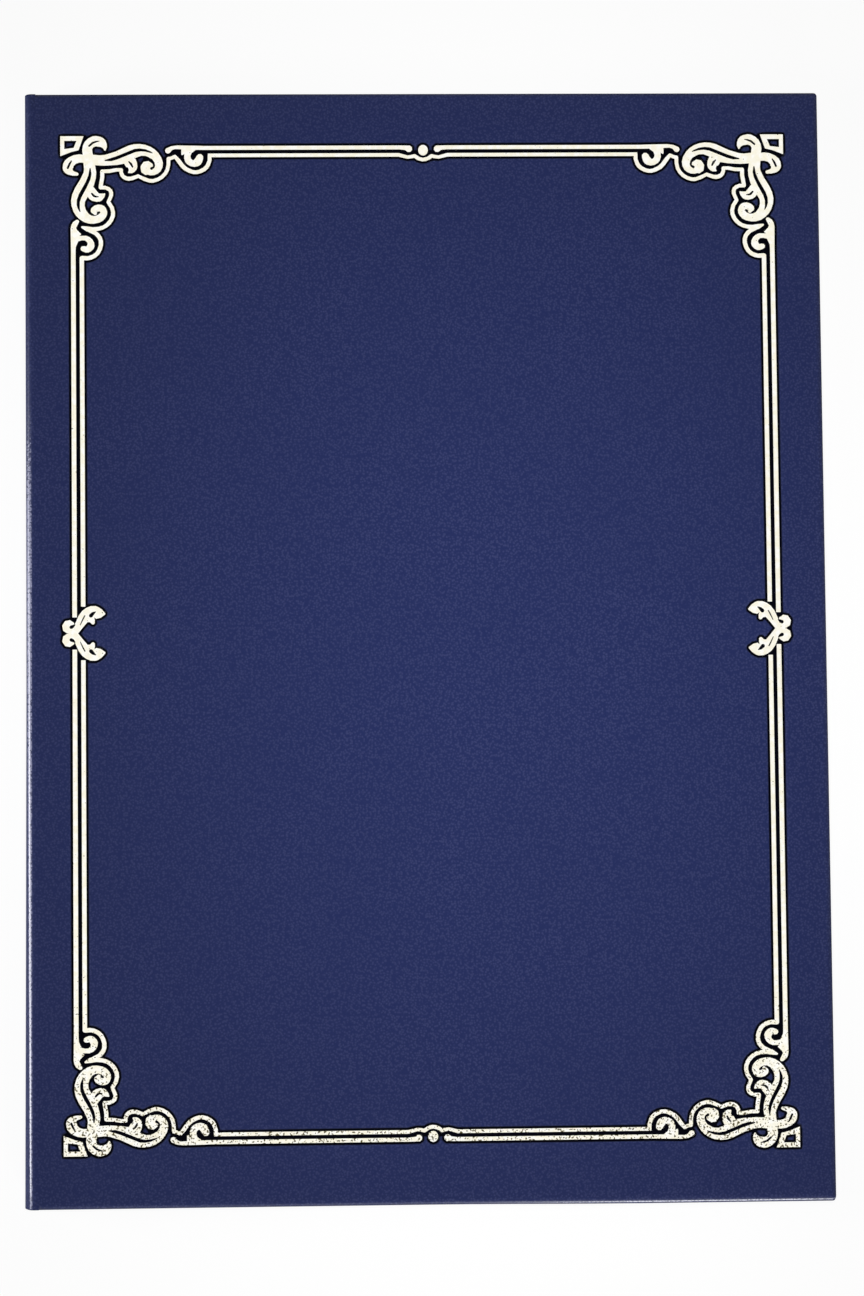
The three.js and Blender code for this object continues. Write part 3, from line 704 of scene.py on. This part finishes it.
def edge_end(side, profile):
    """Rows that close the wrapped head or tail edge at the board's spine side, above the crease."""
    round_edge = [(i, d) for i, d in profile if i <= CORNER_RADIUS and d >= cover_depth - EDGE_RADIUS]
    outline = [(0.0, TWO_LAYERS), *round_edge, (CORNER_RADIUS, TWO_LAYERS)]
    return [[(x, side * (head_y - i), d) for i, d in outline] for x in (board_x, board_x - LEATHER)]


# Sheets round the creases


def carried(path, inward, section):
    """A closed section of (y, depth) carried along a path of (x, z), with both ends closed."""
    surface = Surface()
    rows = [[(x + nx * d, y, z + nz * d) for y, d in section] for (x, z), (nx, nz) in zip(path, inward)]
    surface.add_rows(rows, closed=True)
    surface.add_end(rows[0])
    surface.add_end(rows[-1][::-1])
    return surface


def hairpin():
    """The leatherette's section along the spine: one layer, with a second turned in at the head and tail."""
    bend = TWO_LAYERS / 2
    top = head_y - bend
    half = [(y, 0.0) for y in np.linspace(0, top, LENGTH_POINTS)]
    half += arc((top, bend), bend, -90, 90, EDGE_STEPS)[1:]
    half += [(head_y - TURN_IN, TWO_LAYERS), (head_y - TURN_IN - GLUE, LEATHER), (0.0, LEATHER)]
    other = [(-y, d) for y, d in half[-2:0:-1]]
    return half + other


def crease_path(upper):
    """The outer line of a crease from its cover's board to the middle of the spine, with inward normals."""
    steps = arc((0, 0), 1, 270, 180, FOLD_STEPS)
    centre = (spine_x + FOLD_RADIUS, FOLD_RADIUS)
    flat = [(board_x, 0.0), (board_x - CREASE_FLAT, 0.0)]
    fold = [(centre[0] + FOLD_RADIUS * c, centre[1] + FOLD_RADIUS * s) for c, s in steps]
    side = [(spine_x, z) for z in np.linspace(FOLD_RADIUS, spine_middle, SPINE_POINTS)[1:]]
    inward = [(0, 1)] * len(flat) + [(-c, -s) for c, s in steps] + [(1, 0)] * len(side)
    return placed(flat + fold + side, inward, upper)


def placed(path, inward, upper):
    """A path drawn for the back cover, or turned over for the front one."""
    if not upper:
        return path, inward
    return [(x, front_face - z) for x, z in path], [(nx, -nz) for nx, nz in inward]


def spine_bulged(points):
    """The points of a crease, with the spine's outer side standing out more and more towards the tail."""
    x, y, z = np.array(points).T
    lower = towards_tail(y)
    inside = np.minimum(z, front_face - z) - FOLD_RADIUS / 2
    outer = 1 - smooth_step((x - spine_x) / LEATHER)
    return np.stack([x - SPINE_BULGE * lower * outer * smooth_step(inside / BULGE_RISE), y, z], axis=1)


def crease(name, upper):
    """The leatherette between a cover and the middle of the spine."""
    path, inward = crease_path(upper)
    surface = carried(path, inward, hairpin())
    surface.points = spine_bulged(surface.points)
    piece = make_piece(name, surface, leatherette)
    if upper:
        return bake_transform(piece)
    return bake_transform(piece)


def spine_turn_ins():
    """The ends of the spine's leatherette, folded over the ends of its strip."""
    strip_low, strip_high = box_mm("spine_strip")
    hook = head_y - strip_high[1] - GLUE
    inner = strip_high[0] - spine_x + GLUE
    end = head_y - hook / 2
    section = [
        (head_y - TURN_IN, inner),
        (head_y - hook, inner),
        (head_y - hook, LEATHER + 2 * GLUE),
        (end, LEATHER + 2 * GLUE),
        *arc((end - LEATHER, inner), LEATHER, 0, 90, EDGE_STEPS),
        (head_y - TURN_IN, inner + LEATHER),
    ]
    wall = [(head_y - TURN_IN, TWO_LAYERS + GLUE), (end, TWO_LAYERS + GLUE), *section[4:]]
    low, high = strip_low[2], strip_high[2]
    tabs = ((section, low, high), (wall, low - LEATHER, low), (wall, high, high + LEATHER))
    surface = Surface()
    for outline, start, stop in tabs:
        path = [(spine_x, start), (spine_x, stop)]
        for side in (-1, 1):
            tab = carried(path, [(1, 0)] * 2, [(side * y, d) for y, d in outline])
            surface.add(tab.points, tab.faces)
    return make_piece("spine_turn_ins", surface, leatherette)


def rounded_path(corners, rounds=3):
    """A line through corners with each corner cut off again and again."""
    line = np.array(corners, float)
    for _ in range(rounds):
        here, there = line[:-1], line[1:]
        inner = np.stack([0.75 * here + 0.25 * there, 0.25 * here + 0.75 * there], axis=1)
        line = np.vstack([line[:1], inner.reshape(-1, 2), line[-1:]])
    return line


def gutter_cloth(name, upper):
    """The cloth from under a panel's edge, down the board's edge and across the crease to the spine."""
    half = CLOTH / 2
    inner_face = cover_depth - LEATHER + half
    board_side = board_x - GLUE - half
    floor = LEATHER + GLUE + half
    strip_side = box_mm("spine_strip")[1][0] + GLUE + half
    corners = [
        (board_x + CLOTH_UNDER_PANEL, inner_face),
        (board_x + CLOTH_BEND, inner_face),
        (board_side, inner_face),
        (board_side, inner_face - CLOTH_BEND),
        (board_side, floor),
        (spine_x + FOLD_RADIUS - half, floor),
        (strip_side, FOLD_RADIUS - CLOTH_LEAN),
        (strip_side, FOLD_RADIUS + CLOTH_BEND),
        (strip_side, spine_middle),
    ]
    path = rounded_path(corners)
    run = np.gradient(path, axis=0)
    inward = np.stack([run[:, 1], -run[:, 0]], axis=1) / np.linalg.norm(run, axis=1)[:, None]
    path, inward = placed([tuple(p) for p in path], [tuple(n) for n in inward], upper)
    end = head_y - TURN_IN - GLUE
    rows = np.linspace(-end, end, LENGTH_POINTS)
    section = [(y, -half) for y in rows] + [(y, half) for y in rows[::-1]]
    surface = carried(path, inward, section)
    piece = make_piece(name, surface, leatherette)
    if upper:
        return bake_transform(piece)
    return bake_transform(piece)


# Lined panels and ribbons


def loop_ring(low, high, inset, height):
    """A closed rounded rectangle at an inset from a panel's outline."""
    radius = max(PANEL_CORNER - inset, MITRE_RADIUS)
    centre = (low + high) / 2
    size = (high - low) / 2 - inset - radius
    along = np.linspace(size, -size, PANEL_POINTS)[1:-1]
    points = []
    for turn, sx, sy in ((0, 1, 1), (90, -1, 1), (180, -1, -1), (270, 1, -1)):
        corner = (centre[0] + sx * size[0], centre[1] + sy * size[1])
        points += [(*p, height) for p in arc(corner, radius, turn, turn + 90, CORNER_STEPS)]
        if turn % 180:
            points += [(corner[0] + sx * radius, centre[1] + sy * a[1], height) for a in along]
        else:
            points += [(centre[0] + sx * a[0], corner[1] + sy * radius, height) for a in along]
    return points


def lined_panel(name, node, upwards):
    """Satin stretched over a card and turned under it; upwards is +1 where it looks up."""
    low, high = box_mm(node)
    floor, top = (low[2], high[2]) if upwards > 0 else (high[2], low[2])
    rings = [loop_ring(low[:2], high[:2], inset, floor) for inset in UNDER_ROWS]
    bends = ((floor + upwards * PANEL_EDGE, 270, 180), (top - upwards * PANEL_EDGE, 180, 90))
    for centre_height, start, end in bends:
        for inset, rise in arc((PANEL_EDGE, 0), PANEL_EDGE, start, end, EDGE_STEPS):
            rings.append(loop_ring(low[:2], high[:2], inset, centre_height + upwards * rise))
    half = (high[0] - low[0]) / 2
    for inset in (*PANEL_ROWS, half - 2 * MITRE_RADIUS):
        crown = PANEL_CROWN * (1 - math.exp(-inset / CROWN_REACH))
        rings.append(loop_ring(low[:2], high[:2], inset, top + upwards * crown))
    surface = Surface()
    surface.add_rows(rings, closed=True)
    surface.add_end(rings[-1])
    middle = (low + high) / 2
    outside = ((middle[0], middle[1], top), (0, 0, upwards))
    return make_piece(name, surface, lining_satin, outside, LINING - GLUE)


def corner_ribbon(name, node, fore_side, head_side):
    """A ribbon across one corner of the back panel, with both ends turned over the panel's edges."""
    panel_low, panel_high = box_mm("back_lining")
    bottom = box_mm(node)[0][2]
    corner = (panel_high[0] if fore_side > 0 else panel_low[0], head_side * panel_high[1])
    under = bottom + RIBBON / 2
    over = panel_high[2] + GLUE + RIBBON / 2
    out = GLUE + RIBBON / 2
    deep = RIBBON_TAIL / math.sqrt(2)
    half = RIBBON_WIDTH / math.sqrt(2)
    rows = []
    for place in RIBBON_ROWS:
        s = RIBBON_REACH - half + 2 * half * place
        ridge = SELVEDGE * (1 - smooth_step(min(place, 1 - place) / SELVEDGE_SHARE))
        tail = [(s + t, t, under) for t in np.linspace(deep, TAIL_START, RIBBON_TAIL_POINTS)]
        turn = [(s, -out, under + (over - under) * t) for t in TURN_SHARES]
        edge = TURN_INSET - out / 2
        turn = [(s + TURN_LEAN, edge, under), *turn, (s - TURN_LEAN, edge, over)]
        top = []
        for t in UPPER_SHARES:
            top.append((s * (1 - t), s * t, over + RIBBON_BOW * math.sin(math.pi * t)))
        mirrored = [(b, a, z) for a, b, z in tail + turn]
        line = tail + turn + top + mirrored[::-1]
        rows.append([(corner[0] - fore_side * a, corner[1] - head_side * b, z + ridge) for a, b, z in line])
    surface = Surface()
    surface.add_rows(rows)
    middle = (corner[0] - fore_side * RIBBON_REACH / 2, corner[1] - head_side * RIBBON_REACH / 2, over)
    return make_piece(name, surface, ribbon_satin, (middle, (0, 0, 1)), RIBBON - GLUE)


# The pieces of the holder

front_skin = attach(cover_skin("front_cover_skin", book_top, -1, stamped=True), "front_cover")
back_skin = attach(cover_skin("back_cover_skin", 0.0, 1, stamped=False), "back_cover")
front_crease = crease("front_crease", upper=True)
back_crease = crease("back_crease", upper=False)
spine_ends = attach(spine_turn_ins(), "spine")
front_cloth = gutter_cloth("front_gutter_cloth", upper=True)
back_cloth = gutter_cloth("back_gutter_cloth", upper=False)

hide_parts("front_leatherette")
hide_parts("back_leatherette")
for piece in (front_crease, back_crease, spine_ends):
    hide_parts("spine_leatherette")
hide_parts("front_hinge_cloth", "spine_hinge_cloth")
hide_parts("back_hinge_cloth", "spine_hinge_cloth")
for piece in (front_skin, back_skin, front_crease, back_crease, spine_ends, front_cloth, back_cloth):
    mark_folds(piece)
for piece in (front_skin, front_crease, back_crease):
    mark_wear_and_highlight(piece)

for cover, upwards in (("front", -1), ("back", 1)):
    panel = lined_panel(f"{cover}_panel_satin", f"{cover}_lining", upwards)
    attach(panel, f"{cover}_cover")
    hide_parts(f"{cover}_lining")

for end, head_side in (("head", 1), ("tail", -1)):
    for side, fore_side in (("spine", -1), ("fore", 1)):
        node = f"ribbon_{end}_{side}"
        strip = corner_ribbon(f"satin_{node}", node, fore_side, head_side)
        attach(strip, "back_cover")
        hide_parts(node)

finishes = {"foil": foil, "greyboard": greyboard, "card": card}
for subpart in frame["record"]["subparts"]:
    if subpart["material_slot"] in finishes:
        node_mesh = frame["nodes"][subpart["node"]].data
        node_mesh.materials.clear()
        node_mesh.materials.append(finishes[subpart["material_slot"]])


# Stage, light and camera


def make_floor():
    mesh = bpy.data.meshes.new("floor")
    signs = ((-1, -1), (1, -1), (1, 1), (-1, 1))
    corners = [(x * FLOOR_REACH, y * FLOOR_REACH, FLOOR_LEVEL) for x, y in signs]
    mesh.from_pydata(corners, [], [(0, 1, 2, 3)])
    floor = bpy.data.objects.new("floor", mesh)
    bpy.context.scene.collection.objects.link(floor)
    settings = {"Base_Color": FLOOR_WHITE, "Roughness": 0.9, "Specular_IOR_Level": 0.0}
    material, tree, shader = new_material("white_floor", **settings)
    seen = add_node(tree, "LightPath").outputs["Is Camera Ray"]
    glow = add_node(tree, "Emission", {"Color": WHITE, "Strength": FLOOR_GLOW})
    share = scaled(tree, seen, GLOW_SHARE)
    both = add_node(tree, "MixShader", {0: share, 1: shader.outputs[0], 2: glow.outputs[0]})
    tree.links.new(both.outputs[0], tree.nodes["Material Output"].inputs["Surface"])
    mesh.materials.append(material)


def make_world(fill):
    """A background that looks white, also in the foil, and lights the holder evenly by fill."""
    world = bpy.data.worlds.new("studio")
    world.use_nodes = True
    tree = world.node_tree
    background = tree.nodes["Background"]
    background.inputs["Color"].default_value = WHITE
    path = add_node(tree, "LightPath").outputs
    seen = maths(tree, "MAXIMUM", path["Is Camera Ray"], path["Is Glossy Ray"])
    tree.links.new(ramp(tree, seen, 0, 1, to_low=fill, to_high=1.0), background.inputs["Strength"])
    bpy.context.scene.world = world


def make_lamp(name, place, aim, size, power, spread=180, mirrored=True):
    """A soft box that the camera doesn't see; spread is in degrees, and mirrored lets shiny faces show it."""
    data = bpy.data.lights.new(name, "AREA")
    data.shape = "RECTANGLE"
    data.size, data.size_y = size
    data.energy = power
    data.spread = math.radians(spread)
    lamp = bpy.data.objects.new(name, data)
    lamp.location = place
    lamp.rotation_euler = (Vector(aim) - Vector(place)).to_track_quat("-Z", "Y").to_euler()
    lamp.visible_camera = False
    lamp.visible_glossy = mirrored
    bpy.context.scene.collection.objects.link(lamp)


make_floor()
make_world(fill=0.05)
make_lamp(
    "overhead",
    place=(0.022, 0.0, 0.6),
    aim=(0.022, 0.0, 0.0),
    size=(0.16, 0.31),
    power=0.197,
    spread=39,
    mirrored=False,
)
make_lamp("spine_side", place=(-0.95, -0.08, 0.22), aim=(-0.11, -0.05, 0.0), size=(0.36, 0.22), power=5.5)
make_lamp("tail_side", place=(0.15, -0.95, 0.2), aim=(0.05, -0.15, 0.0), size=(0.28, 0.3), power=3.5)

camera_data = bpy.data.cameras.new("camera")
camera_data.lens = LENS
camera_data.sensor_width = SENSOR
camera = bpy.data.objects.new("camera", camera_data)
camera.location = CAMERA_PLACE
camera.rotation_euler = [math.radians(a) for a in CAMERA_TURN]
bpy.context.scene.collection.objects.link(camera)
bpy.context.scene.camera = camera
bpy.context.scene.view_settings.view_transform = "Standard"
